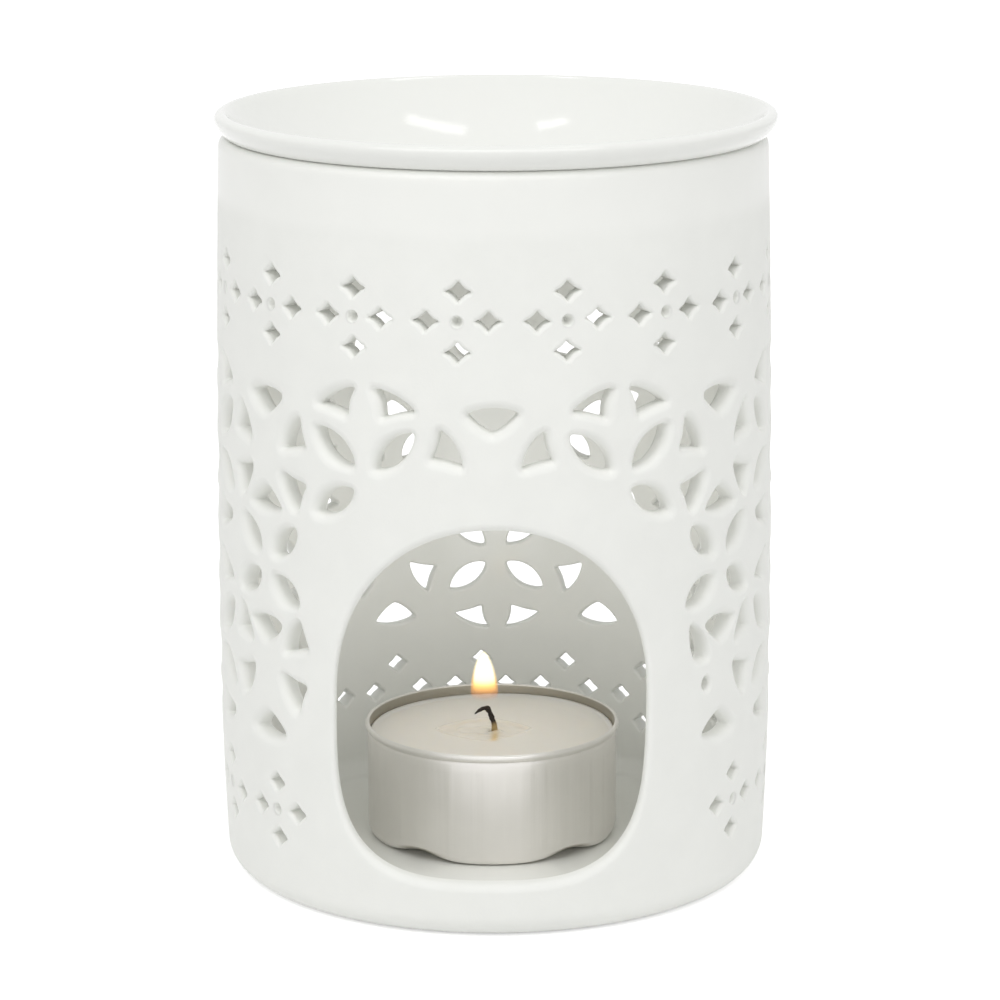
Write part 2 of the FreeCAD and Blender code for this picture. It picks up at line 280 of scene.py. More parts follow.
def closed_lathe(profile, columns):
    """Turned surface whose first and last profile points are poles on the axis."""
    low, high = profile[0, 1], profile[-1, 1]
    return closed_grid(turned(profile[1:-1], columns), (0.0, 0.0, low), (0.0, 0.0, high))


def rounded_lathe(profile, sigma, step, longest, turn_length, columns):
    """Closed lathe of a profile softened by sigma and thinned, its ends kept on the axis."""
    fine = softened(profile, sigma, closed=False, step=step)
    points, _ = thinned(fine, longest, turn_length, closed=False)
    points[0, 0] = points[-1, 0] = 0.0
    return closed_lathe(points, columns)


# ==== Body: barrel, arched opening and cut-outs ====

def barrel(height):
    """Outer radius of the body: two arcs that meet upright at the belly."""
    low = height < BELLY_HEIGHT
    run = np.where(low, BELLY_HEIGHT, BODY_HEIGHT - BELLY_HEIGHT)
    sag = np.where(low, BASE_TAPER, MOUTH_TAPER)
    bend = (run ** 2 + sag ** 2) / (2.0 * sag)
    return BELLY_RADIUS - bend + np.sqrt(bend ** 2 - (height - BELLY_HEIGHT) ** 2)


def on_body(around, height, depth):
    """Point of the wall: turned by around / ROUND_RADIUS, at the barrel's radius less depth."""
    return round_z(barrel(height) - depth, around / ROUND_RADIUS, height)


def body_normals(around, height):
    """Outward normals of the barrel, from the slope of its radius."""
    slope = (barrel(height + 0.01) - barrel(height - 0.01)) / 0.02
    return unit(round_z(1.0, around / ROUND_RADIUS, -slope))


def arch_outline():
    """Arch in front view: |x / half width| ^ p + |z / half height| ^ p = 1, with one power
    above its widest level and one below, and x leaning by ARCH_LEAN z."""
    across, along = np.cos(full_turn(720)), np.sin(full_turn(720))
    power = np.where(along >= 0, ARCH_CROWN_POWER, ARCH_FOOT_POWER)
    half = np.where(along >= 0, ARCH_RISE, ARCH_WAIST)
    x = ARCH_HALF_WIDTH * np.sign(across) * np.abs(across) ** (2.0 / power)
    z = half * np.sign(along) * np.abs(along) ** (2.0 / power)
    return np.stack([ARCH_OFFSET + ARCH_LEAN * z + x, ARCH_LIP + ARCH_WAIST + z], 1)


def arch_distance(spots):
    """Distance over the surface from each spot to the arch's outline, negative inside it."""
    outline = arch_outline()
    outline[:, 0] = ROUND_RADIUS * np.arcsin(outline[:, 0] / BELLY_RADIUS)
    gap = np.linalg.norm(spots[:, None] - outline[None], axis=2).min(1)
    return np.where(inside(spots, outline), -gap, gap)


def inside(spots, outline):
    """Whether each spot is inside a closed polyline: crossings of a ray to the right."""
    x, z = spots[:, 0][:, None], spots[:, 1][:, None]
    start, end = outline[None], np.roll(outline, -1, 0)[None]
    spans = (start[..., 1] > z) != (end[..., 1] > z)
    rise = np.where(np.abs(end[..., 1] - start[..., 1]) < 1e-12, 1e-12, end[..., 1] - start[..., 1])
    crossing = start[..., 0] + (z - start[..., 1]) / rise * (end[..., 0] - start[..., 0])
    return (spans & (crossing > x)).sum(1) % 2 == 1


def arc(start, end, bulge, share):
    """Circular arc that leaves its chord by bulge, to the right of its way.

    With a = 2 atan(2 bulge / chord), its point at a share from -1 to 1 is chord / 2 times
    sin(share a) / sin a along the chord and (cos(share a) - cos a) / sin a off it.
    """
    length = np.linalg.norm(end - start)
    along = (end - start) / length
    half = 2.0 * math.atan(2.0 * bulge / length)
    reach = length / 2.0 / math.sin(half)
    return ((start + end) / 2.0 + reach * np.sin(share * half)[:, None] * along
            + reach * (np.cos(share * half) - math.cos(half))[:, None] * to_the_right(along[None]))


def sided(corners, bulges, steps=24):
    """Closed outline whose sides are arcs that leave their chords by the bulges."""
    corners = np.array(corners, float)
    share = 2.0 * np.arange(steps) / steps - 1.0
    return np.concatenate([arc(start, end, bulge, share) for start, end, bulge
                           in zip(corners, np.roll(corners, -1, 0), bulges)])


def bowed(start, end, share, count=24):
    """Arc with both its ends whose bulge is a share of its chord."""
    start, end = np.array(start, float), np.array(end, float)
    return arc(start, end, share * np.linalg.norm(end - start), np.linspace(-1.0, 1.0, count))


def mirrored(outline, across=1.0, up=1.0):
    """Closed outline flipped left to right or top to bottom, still counter-clockwise."""
    flipped = outline * np.array([across, up])
    return flipped if across * up > 0 else flipped[::-1]


FLOWER = {
    "upper_leaf": sided([(1.6, 1.4), (8.0, 7.2)], [1.7, 1.7]),
    "lower_leaf": sided([(8.3, -5.6), (1.5, -1.4)], [1.7, 1.7]),
    "north": sided([(2.6, 8.9), (7.8, 10.2), (1.3, 13.2)], [-0.2, 0.6, -0.5]),
    "east_upper": sided([(10.0, 3.4), (14.8, 2.4), (11.3, 7.9)], [-0.2, 0.7, -0.3]),
    "east_lower": sided([(11.8, -6.1), (15.0, -0.6), (10.0, -1.9)], [0.7, -0.2, -0.3]),
    "south": sided([(1.2, -12.3), (7.5, -9.7), (2.4, -8.5)], [0.6, -0.2, -0.5]),
}
SHORT_LEAVES = {
    "upper_leaf": sided([(1.6, 1.4), (6.6, 6.3)], [1.6, 1.6]),
    "lower_leaf": sided([(7.4, -5.3), (1.5, -1.4)], [1.6, 1.6]),
}
BETWEEN_OUTER = sided([(0.0, 7.2), (3.9, 10.2), (-3.9, 10.2)], [0.3, 0.8, 0.3])
BETWEEN_INNER = sided([(0.0, -3.4), (-3.9, -6.3), (3.9, -6.3)], [0.3, 0.7, 0.3])
BOTCHED = (
    sided([(30.7, 43.2), (31.9, 38.0), (34.5, 37.4)], [0.25, 0.2, 1.2]),
    sided([(34.0, 33.0), (34.9, 34.2), (34.0, 35.4), (33.1, 34.2)], [0.25] * 4),
)
BOTCHED_PLACE = np.array([31.0, 37.4])
BOTCHED_REACH = 4.6
STAR = sided([(2.2, 0.0), (0.0, 1.75), (-2.2, 0.0), (0.0, -1.75)], [-0.40] * 4)
LOW_STAR = sided([(2.05, 0.0), (0.0, 1.7), (-2.05, 0.0), (0.0, -1.7)], [-0.28] * 4)


def laid(around):
    """Where a place that should be at around really is: the pattern is a little uneven."""
    return around + np.sin(around / ROUND_RADIUS) - 0.2


def cut_outs():
    """Every cut-out as (outline about its own middle, middle, rounding)."""
    found = []

    def add(outline, around, height, rounding=HOLE_ROUNDING):
        middle = outline.mean(0)
        found.append((outline - middle, np.array([around, height]) + middle, rounding))

    for column in range(-(FLOWER_COLUMNS // 2), FLOWER_COLUMNS // 2 + 1):
        gap = laid(FLOWER_PITCH * column)
        on_column = laid(FLOWER_PITCH * (column + 0.5))
        for shape in FLOWER.values():
            for side in (1.0, -1.0):
                for row in (0, 2):
                    add(mirrored(shape, side), on_column, FLOWER_ROWS[row])
        for shape in SHORT_LEAVES.values():
            for side in (1.0, -1.0):
                add(mirrored(shape, side), gap, FLOWER_ROWS[1])
        for row, up in ((0, 1.0), (2, -1.0)):
            for shape in (BETWEEN_OUTER, BETWEEN_INNER):
                add(mirrored(shape, 1.0, up), gap, FLOWER_ROWS[row])
    middles = np.array([middle for _, middle, _ in found])
    clear = arch_distance(middles) > HOLE_MARGIN
    clear &= np.linalg.norm(middles - BOTCHED_PLACE, axis=1) > BOTCHED_REACH
    found = [hole for hole, keep in zip(found, clear) if keep]
    for outline, rounding in zip(BOTCHED, (HOLE_ROUNDING, 0.8)):
        add(outline, 0.0, 0.0, rounding)
    for around, height in cluster_places():
        star = STAR if height == STAR_ROWS[0] else LOW_STAR
        for across, up in STAR_SHIFTS:
            add(star, around + across, height + up, STAR_ROUNDING)
    return found


def cluster_places():
    """Middles of the star clusters, without those too near the arch."""
    pitch = WAY_ROUND / STAR_CLUSTERS
    around = laid(STAR_FIRST + pitch * (np.arange(STAR_CLUSTERS) - STAR_CLUSTERS // 2))
    places = np.array([(s, z) for z in STAR_ROWS for s in around])
    return places[arch_distance(places) > CLUSTER_MARGIN]


def edge_steps(outer, inner, outer_turns, inner_turns):
    """Rows of a cut-out's wall: sideways offset, depth, and the way to the next row.

    The outer edge is a quarter round of radius outer, then the wall is straight, and
    the inner edge is a quarter round of radius inner.
    """
    first = quarter_turn(outer_turns)
    last = quarter_turn(inner_turns)
    offset = np.concatenate([outer * (1.0 - np.sin(first)), inner * (1.0 - np.cos(last))])
    depth = np.concatenate([
        outer * (1.0 - np.cos(first)), BODY_WALL - inner * (1.0 - np.sin(last))])
    way = np.concatenate([
        np.stack([-np.cos(first), np.sin(first)], 1), np.stack([np.sin(last), np.cos(last)], 1)])
    return offset, depth, way


def edge_room(holes, number):
    """Share of its rounding that a cut-out's edge has room for, beside its neighbours.

    Each rounding may take ROUNDING_SHARE of the web between two cut-outs.
    """
    points, _, rounding = holes[number]
    middle = points.mean(0)
    others = np.concatenate([
        other[0] for place, other in enumerate(holes)
        if place != number and np.abs(apart(other[0].mean(0), middle)).max() < 20.0])
    web = np.linalg.norm(apart(points[:, None], others[None]), axis=2).min(1)
    return np.minimum(1.0, ROUNDING_SHARE * web / rounding)


def apart(spots, others):
    """Difference of (around, height) spots, the short way round the body."""
    gap = spots - others
    gap[..., 0] = (gap[..., 0] + WAY_ROUND / 2.0) % WAY_ROUND - WAY_ROUND / 2.0
    return gap


def wall_grid(spots, offset, depth, way):
    """Outer ring, inner ring, points and normals of a wall through spots(offset, depth)."""
    def place(offset, depth):
        at = spots(offset, depth)
        return on_body(at[:, 0], at[:, 1], depth)

    nudge = 0.002
    rows = np.stack([place(o, d) for o, d in zip(offset, depth)])
    beyond = np.stack([place(o + nudge * w[0], d + nudge * w[1])
                       for o, d, w in zip(offset, depth, way)])
    along = np.roll(rows, -1, 1) - np.roll(rows, 1, 1)
    normals = unit(np.cross(along, beyond - rows))
    return spots(offset[0], 0.0), spots(offset[-1], BODY_WALL), rows, normals


def plan(around, height):
    """Flat annulus in which angles are true: exp(height / R) turned by around / R."""
    angle = around / ROUND_RADIUS
    return np.exp(height / ROUND_RADIUS)[:, None] * np.stack([np.sin(angle), -np.cos(angle)], 1)


def sheet_triangles(spots, rings, outward):
    """Triangles over the barrel between its two end circles, open inside the rings.

    spots are (around, height); the first 2 x COLUMNS are the end circles. Each ring is
    the numbers of one closed outline.
    """
    flat = plan(spots[:, 0], spots[:, 1])
    low = np.arange(COLUMNS)
    loops = [low, low + COLUMNS] + rings
    edges = np.concatenate([np.stack([ring, np.roll(ring, -1)], 1) for ring in loops])
    out = delaunay_2d_cdt([Vector(p) for p in flat.tolist()], edges.tolist(), [], 0, 1e-7)
    faces = np.array(out[2])
    source = np.array([ids[0] if ids else -1 for ids in out[3]])
    if len(out[0]) != len(flat) or (source < 0).any():
        print("sheet: outlines cross", len(out[0]), len(flat), (source < 0).sum())
    faces = source[faces]
    owner = np.full(len(spots), -1)
    owner[:COLUMNS] = len(rings)
    for number, ring in enumerate(rings):
        owner[ring] = number
    same = (owner[faces] == owner[faces][:, :1]).all(1) & (owner[faces[:, 0]] >= 0)
    middle = flat[faces].mean(1)
    drop = np.zeros(len(faces), bool)
    for number, ring in enumerate(rings + [low]):
        which = np.nonzero(same & (owner[faces[:, 0]] == number))[0]
        if len(which):
            drop[which] = inside(middle[which], flat[ring])
    faces = faces[~drop]
    a, b, c = (flat[faces[:, k]] for k in range(3))
    spin = (b - a)[:, 0] * (c - a)[:, 1] - (b - a)[:, 1] * (c - a)[:, 0]
    faces[spin > 0] = faces[spin > 0][:, ::-1]
    return faces if outward else faces[:, ::-1]


def net_spots(rings_spots, clear):
    """Staggered net over the sheet, without spots in or near the cut-outs."""
    rows = np.arange(SHEET_LOW + NET_STEP, SHEET_HIGH - NET_STEP / 2.0, NET_STEP)
    turn = 360.0 / NET_COLUMNS
    spots = np.stack(np.meshgrid(np.arange(NET_COLUMNS) * turn, rows), -1).astype(float)
    spots[1::2, :, 0] += turn / 2.0
    spots = spots.reshape(-1, 2)
    spots[:, 0] = np.radians(spots[:, 0] - 180.0) * ROUND_RADIUS
    flat = plan(spots[:, 0], spots[:, 1])
    keep = np.ones(len(spots), bool)
    for ring in rings_spots:
        outline = plan(ring[:, 0], ring[:, 1])
        scale = np.exp(ring[:, 1].mean() / ROUND_RADIUS) / ROUND_RADIUS
        reach = 12.0 * scale + np.ptp(outline, axis=0).max()
        near = np.nonzero(keep & (np.linalg.norm(flat - outline.mean(0), axis=1) < reach))[0]
        if len(near) == 0:
            continue
        gap = np.linalg.norm(flat[near][:, None] - outline[None], axis=2).min(1)
        keep[near[(gap < clear * scale) | inside(flat[near], outline)]] = False
    return spots[keep]


def corner(middle, height, radius, start, steps=12):
    """Quarter round about (middle, height), counter-clockwise from the angle start."""
    turn = start + quarter_turn(steps)
    return np.stack([middle + radius * np.cos(turn), height + radius * np.sin(turn)], 1)


def end_profiles():
    """Turned parts of the body: underside and base edge, mouth, and floor inside."""
    down = -math.pi / 2.0
    foot = float(barrel(BASE_ROUNDING)) - BASE_ROUNDING
    rise = np.array([4.2, 5.3, SHEET_LOW])
    base = np.concatenate([
        [[radius, 0.0] for radius in (0.0, 9.0, 18.0, 27.0, 33.0, foot - 0.6)],
        corner(foot, BASE_ROUNDING, BASE_ROUNDING, down),
        np.stack([barrel(rise), rise], 1)])
    edge = BODY_HEIGHT - MOUTH_EDGE
    top = BODY_HEIGHT - MOUTH_ROUNDING
    rise = np.array([SHEET_HIGH, 102.0, 104.5, 107.0, 107.8])
    side = np.stack([barrel(rise), rise], 1)
    mouth = np.concatenate([
        side,
        corner(float(barrel(edge)) - MOUTH_EDGE, edge, MOUTH_EDGE, 0.0, 6),
        corner(float(barrel(top)) - BODY_WALL + MOUTH_ROUNDING, top, MOUTH_ROUNDING, -down, 6),
        side[::-1] - [BODY_WALL, 0.0]])
    bend = FLOOR + FLOOR_ROUNDING
    middle = float(barrel(bend)) - BODY_WALL - FLOOR_ROUNDING
    floor = np.concatenate([
        [[float(barrel(SHEET_LOW)) - BODY_WALL, SHEET_LOW]],
        corner(middle, bend, FLOOR_ROUNDING, down)[::-1],
        [[radius, FLOOR] for radius in (middle - 0.6, 28.0, 20.0, 10.0, 0.0)]])
    return base, mouth, floor


def profile_normals(profile):
    """Normals of a turned profile: its direction (dr, dz) turned to (dz, -dr)."""
    return unit(to_the_right(np.gradient(profile, axis=0)))


def hole_walls():
    """Walls of the cut-outs and of the arch: outer ring, inner ring, points and normals."""
    walls = []
    holes = []
    for outline, middle, rounding in cut_outs():
        tilt = math.radians(dice.normal(0.0, HOLE_TILT))
        turn = np.array([[math.cos(tilt), -math.sin(tilt)], [math.sin(tilt), math.cos(tilt)]])
        spot = middle + dice.normal(0.0, HOLE_SCATTER, 2)
        soft = softened(HOLE_SCALE * outline @ turn.T, HOLE_SOFTENING)
        points, direction = thinned(soft, 0.95, rounding)
        holes.append((spot + points, to_the_right(direction), rounding))
    for number, (points, off, rounding) in enumerate(holes):
        off = off * edge_room(holes, number)[:, None]
        walls.append(wall_grid(lambda offset, depth: points + offset * off,
                               *edge_steps(rounding, HOLE_INNER_ROUNDING, 3, 2)))
    points, direction = thinned(softened(arch_outline(), 0.3, step=0.25), 1.1, 2.0)
    off = to_the_right(direction)

    def arch_spots(offset, depth):
        """The arch is cut straight back: around = R asin(x / radius) at each depth."""
        radius = barrel(points[:, 1]) - depth
        around = ROUND_RADIUS * np.arcsin(points[:, 0] / radius)
        return np.stack([around, points[:, 1]], 1) + offset * off

    walls.append(wall_grid(arch_spots, *edge_steps(ARCH_ROUNDING, ARCH_INNER_ROUNDING, 6, 3)))
    return walls


class Shell:
    """Points, normals, glaze and faces of the body as they are gathered."""

    def __init__(self):
        self.points, self.normals, self.glaze, self.faces = [], [], [], []
        self.count = 0

    def add(self, points, normals, glaze):
        """Take up points, and give their numbers."""
        points = points.reshape(-1, 3)
        self.points.append(points)
        self.normals.append(normals.reshape(-1, 3))
        self.glaze.append(np.broadcast_to(glaze, len(points)))
        self.count += len(points)
        return np.arange(self.count - len(points), self.count)

    def add_turned(self, profile, glaze):
        """Take up a profile's turned rows between its ends, and give their numbers."""
        normals = turned(profile_normals(profile), COLUMNS)
        numbers = self.add(turned(profile, COLUMNS)[1:-1], normals[1:-1], glaze)
        self.faces.append(bands(len(profile) - 2, COLUMNS, numbers[0]))
        return numbers.reshape(-1, COLUMNS)

    def close(self, ring, height, up, glaze):
        """Close a ring with a pole on the axis."""
        pole = self.add(np.array([[0.0, 0.0, height]]), np.array([[0.0, 0.0, up]]), glaze)
        self.faces.append(fan(ring, pole[0], flip=up < 0.0))


def pierced_body():
    """Barrel wall with every cut-out, closed by its base, mouth and floor."""
    circle = WAY_ROUND * np.arange(COLUMNS) / COLUMNS
    ends = np.concatenate([
        np.stack([circle, np.full(COLUMNS, height)], 1) for height in (SHEET_LOW, SHEET_HIGH)])
    shell = Shell()
    walls = hole_walls()
    wall_numbers = []
    for _, _, rows, normals in walls:
        glaze = np.zeros(rows.shape[:2])
        glaze[-2:] = 1.0
        numbers = shell.add(rows, normals, glaze.ravel())
        shell.faces.append(bands(len(rows), rows.shape[1], numbers[0]))
        wall_numbers.append(numbers.reshape(rows.shape[:2]))
    sheet_ends = []
    for side, depth, out in ((0, 0.0, 1.0), (1, BODY_WALL, -1.0)):
        numbers = [shell.add(on_body(ends[:, 0], ends[:, 1], depth),
                             body_normals(ends[:, 0], ends[:, 1]) * out, float(side))]
        sheet_ends += [numbers[0][:COLUMNS], numbers[0][COLUMNS:]]
        outlines = [wall[side] for wall in walls]
        starts = len(ends) + np.cumsum([0] + [len(outline) for outline in outlines])
        rings = [np.arange(start, end) for start, end in zip(starts[:-1], starts[1:])]
        numbers += [wall[-side] for wall in wall_numbers]
        net = net_spots(outlines, 1.0)
        if side == 0:
            net, depths, normals = with_dimples(net)
        else:
            depths, normals = depth, -body_normals(net[:, 0], net[:, 1])
        numbers.append(shell.add(on_body(net[:, 0], net[:, 1], depths), normals, float(side)))
        triangles = sheet_triangles(np.concatenate([ends, *outlines, net]), rings, side == 0)
        shell.faces.append(np.concatenate(numbers)[triangles])

    outer_low, outer_high, inner_low, inner_high = sheet_ends
    base, mouth, floor = end_profiles()
    rows = shell.add_turned(base, 0.0)
    shell.close(rows[0], 0.0, -1.0, 0.0)
    shell.faces.append(joined(rows[-1], outer_low))
    rows = shell.add_turned(mouth, 0.5)
    shell.faces += [joined(outer_high, rows[0]), joined(rows[-1], inner_high)]
    rows = shell.add_turned(floor, 1.0)
    shell.faces.append(joined(inner_low, rows[0]))
    shell.close(rows[-1], FLOOR, 1.0, 1.0)
    return make_piece("pierced_shell", np.concatenate(shell.points), shell.faces,
                      np.concatenate(shell.normals), {"glaze": np.concatenate(shell.glaze)})


def joined(low, high):
    """Quads between two rings of point numbers."""
    return np.stack([low, np.roll(low, -1), np.roll(high, -1), high], 1)


def with_dimples(net):
    """Net of the outer sheet with the dimples' own rings: depth D (1 - (d / b)^2)^2."""
    places = cluster_places()
    away = np.linalg.norm(net[:, None] - places[None], axis=2).min(1)
    net = net[away > DIMPLE_RADIUS + 0.45]
    angle = full_turn(12)
    rings = [np.zeros((1, 2))]
    for radius in (0.3, 0.6, 0.9, 1.25):
        rings.append(DIMPLE_RADIUS * radius / 1.25 * np.stack([np.cos(angle), np.sin(angle)], 1))
    own = (places[:, None] + np.concatenate(rings)[None]).reshape(-1, 2)
    spots = np.concatenate([net, own])
    nearest = np.linalg.norm(spots[:, None] - places[None], axis=2).argmin(1)
    offset = spots - places[nearest]
    share = np.clip(1.0 - (offset ** 2).sum(1) / DIMPLE_RADIUS ** 2, 0.0, 1.0)
    depth = DIMPLE_DEPTH * share ** 2
    normals = body_normals(spots[:, 0], spots[:, 1])
    angle = spots[:, 0] / ROUND_RADIUS
    across = np.stack([np.cos(angle), np.sin(angle), np.zeros(len(angle))], 1)
    up = np.broadcast_to([0.0, 0.0, 1.0], across.shape)
    slope = -4.0 * DIMPLE_DEPTH * share[:, None] * offset / DIMPLE_RADIUS ** 2
    return spots, depth, unit(normals + slope[:, :1] * across + slope[:, 1:] * up)


# ==== Dish ====

def oil_dish():
    """Shallow bowl turned about Z, a little off the body's middle.

    Its profile is the CAD solid's, with one arc from the rim to the bottom where the solid
    has two: arcs for the bowl and the underside, a quarter ellipse over the rim, and
    corners averaged along the profile's length.
    """
    rim = np.linspace(math.pi / 2.0, -0.1, 24)
    profile = np.concatenate([
        [[0.0, DISH_FOOT], [6.0, DISH_FOOT]],
        bowed((12.0, DISH_FOOT), (36.5, 107.2), 0.094),
        [[36.5, 109.8], [39.3, 109.8]],
        bowed((39.35, 109.85), (41.02, 111.9), 0.10, 10),
        np.stack([39.7 + 1.4 * np.cos(rim), 112.4 + 1.0 * np.sin(rim)], 1)[::-1],
        bowed((39.5, 113.38), (12.0, DISH_BOTTOM), -0.088, 36)[1:],
        [[6.0, DISH_BOTTOM], [0.0, DISH_BOTTOM]]])
    points, faces = rounded_lathe(profile, 0.22, 0.06, 1.3, 5.0, 256)
    points[:, 0] += DISH_SHIFT
    return make_piece("glazed_dish", points, faces)


# ==== Tealight ====

def hump(angle, middle, width):
    """Bell in the angle round the tealight, in degrees."""
    gap = (np.degrees(angle) - middle + 180.0) % 360.0 - 180.0
    return np.exp(-0.5 * (gap / width) ** 2)


def tealight_cup():
    """Pressed cup turned about its middle: thin side, rolled rim, and a base edge that
    stands clear of the floor in places by the sum of a few bells."""
    profile = np.array([
        [0.0, 2.4], [17.75, 2.4], [18.55, 2.7], [18.9, 3.6], [18.9, 18.2], [CUP_SIDE, 18.4],
        [CUP_SIDE, 18.5], [19.05, 18.65], [19.3, 19.0], [19.3, 19.4], [19.1, 19.65], [18.85, 19.7],
        [18.65, 19.6], [18.6, 19.4], [18.6, 3.7], [18.3, 3.0], [17.6, 2.7], [0.0, 2.7]])
    points, faces = rounded_lathe(profile, 0.07, 0.03, 1.2, 1.2, 300)
    angle = np.arctan2(points[:, 0], -points[:, 1])
    radius = np.hypot(points[:, 0], points[:, 1])
    height = points[:, 2]
    low = np.clip((7.0 - height) / 4.6, 0.0, 1.0) ** 2 * np.clip((radius - 13.0) / 5.0, 0.0, 1.0) ** 2
    points[:, 2] += low * sum(rise * hump(angle, middle, width) for rise, middle, width in CUP_LIFTS)
    streak = sum(reach * np.cos(count * angle + phase) for count, reach, phase in CUP_STREAKS)
    side = np.clip((height - 2.6) / 2.0, 0.0, 1.0) * np.clip((18.0 - height) / 1.0, 0.0, 1.0)
    side = side * (radius > 18.0)
    points[:, :2] *= (1.0 + side * streak / np.maximum(radius, 1.0))[:, None]
    # Mark of the cup's inner wall, where the material darkens the colour as painted shade.
    shaded_within = np.clip((CUP_SIDE - radius) / 0.08, 0.0, 1.0) * np.clip((height - 3.2) / 0.6, 0.0, 1.0)
    pressed = 1.0 - np.exp(-((angle - CUP_DENT) / CUP_DENT_WIDTH) ** 2)
    return make_piece("pressed_cup", points + CANDLE, faces,
                      marks={"shaded_within": shaded_within, "pressed": pressed})


def tealight_wax():
    """Wax turned about the tealight's middle; its top dips to a melt pool about the wick.

    The pool's rim is a rounded diamond: (|x| / a)^p + (|y| / b)^p = 1, with a thin ridge.
    """
    side = np.array([[0.0, 4.3], [15.4, 4.3], [18.3, 6.2], [WAX_RADIUS, 7.0],
                     [WAX_RADIUS, WAX_TOP - 0.4]])
    fine = softened(side, 0.15, closed=False, step=0.06)
    low, _ = thinned(fine, 1.5, 2.0, closed=False)
    top_radius = np.concatenate([
        [18.45, 18.2], np.arange(17.8, 9.6, -0.4), np.arange(9.6, 0.7, -0.17), [WICK_HOLE]])
    top = np.stack([top_radius, np.full(len(top_radius), WAX_TOP)], 1)
    profile = np.concatenate([low, top, [[WICK_HOLE, WAX_TOP - 1.2], [0.0, WAX_TOP - 1.2]]])
    profile[0, 0] = 0.0
    points, faces = closed_lathe(profile, 288)
    radius = np.hypot(points[:, 0], points[:, 1])
    from_wick = np.hypot(points[:, 0] - 0.45, points[:, 1])
    x = points[:, 0] + 1.3
    y = points[:, 1] - 0.9
    on_top = np.clip((points[:, 2] - (WAX_TOP - 0.35)) / 0.3, 0.0, 1.0)
    across = (np.abs(x / POOL_HALF_WIDTH) ** POOL_POWER
              + np.abs(y / POOL_HALF_DEPTH) ** POOL_POWER) ** (1.0 / POOL_POWER)
    pool = -0.30 / (1.0 + np.exp((across - 1.0) * 18.0))
    ridge = 0.20 * np.exp(-0.5 * ((across - 1.04) / 0.035) ** 2)
    inner = np.hypot(x + 0.6, 1.5 * y)
    swirl = 0.09 * np.exp(-0.5 * ((inner - 2.9 - 0.5 * np.sin(1.3 * x)) / 0.28) ** 2)
    swirl = swirl + 0.035 * np.sin(1.9 * x + 1.3 * y) * np.exp(-(across * 1.3) ** 2)
    meniscus = 0.35 * np.exp(-((WAX_RADIUS - radius) / 0.5) ** 2)
    angle = np.arctan2(points[:, 0], -points[:, 1])
    uneven = 0.25 * hump(angle, 140.0, 25.0) * np.clip((radius - 15.5) / 2.5, 0.0, 1.0)
    climb = 0.4 * np.exp(-((from_wick - 0.5) / 0.6) ** 2)
    points[:, 2] += on_top * (pool + ridge + swirl + meniscus + uneven + climb)
    melt = on_top / (1.0 + np.exp((across - 1.05) * 14.0))
    # A narrow yellow strip on the wax top, from the wick towards the front.
    along = np.clip(points[:, 1], -5.0, 0.3)
    yellow_strip = on_top * np.exp(-((points[:, 0] - 0.5 - 0.04 * along) / 0.55) ** 2
                            - (np.maximum(np.abs(points[:, 1] + 2.2) - 2.4, 0.0) / 0.8) ** 2)
    return make_piece("candle_wax", points + CANDLE, faces, marks={"melt": melt, "yellow_strip": yellow_strip})


def tealight_wick():
    """Tube round the wick's line: upright, then bent over towards -X to a charred point.

    Strands 1 + a cos(3 turn + twist) and lumps where it is charred vary its radius.
    """
    columns = 48
    corners = np.array([[-0.05, 15.6], [-0.05, 17.4], [-0.16, 18.6], [-0.62, 20.1], [-1.12, 21.3],
                        [-1.75, 21.3], [-2.5, 20.9], [-3.15, 20.38]])
    fine = softened(corners, 0.18, closed=False, step=0.05)
    line, direction = thinned(fine, 0.10, 0.1, closed=False)
    run = running(np.hypot(*np.diff(line, axis=0).T))
    share = run / run[-1]
    turn = full_turn(columns)
    radius = np.interp(share, [0.0, 0.28, 0.42, 0.62, 0.70, 0.85, 0.97, 1.0],
                       [0.47, 0.46, 0.38, 0.36, 0.40, 0.27, 0.14, 0.05])
    strands = 1.0 + 0.10 * np.cos(3.0 * turn[None] + 14.0 * share[:, None])
    charred = np.clip((share[:, None] - 0.4) / 0.1, 0.0, 1.0)
    lumps = 1.0 + charred * (0.11 * np.sin(37.0 * share[:, None] + 2.0 * turn[None])
                             + 0.08 * np.sin(71.0 * share[:, None] - 3.0 * turn[None] + 1.0))
    reach = (radius[:, None] * strands * lumps)[..., None]
    middle = np.stack([line[:, 0], np.full(len(line), CANDLE[1]), line[:, 1]], -1)
    outward = np.stack([direction[:, 1], np.zeros(len(line)), -direction[:, 0]], -1)
    sideways = np.array([0.0, 1.0, 0.0])
    grid = middle[:, None] + reach * (
        np.cos(turn)[None, :, None] * outward[:, None] + np.sin(turn)[None, :, None] * sideways)
    points, faces = closed_grid(grid, middle[0], middle[-1])
    height = np.concatenate([np.repeat(line[:, 1], columns), [line[0, 1], 20.4]])
    char = np.clip((height - 18.5) / 1.1, 0.0, 1.0)
    char = np.maximum(char, np.concatenate([np.repeat(share > 0.6, columns), [0.0, 1.0]]))
    return make_piece("charred_wick", points, faces, marks={"char": char})


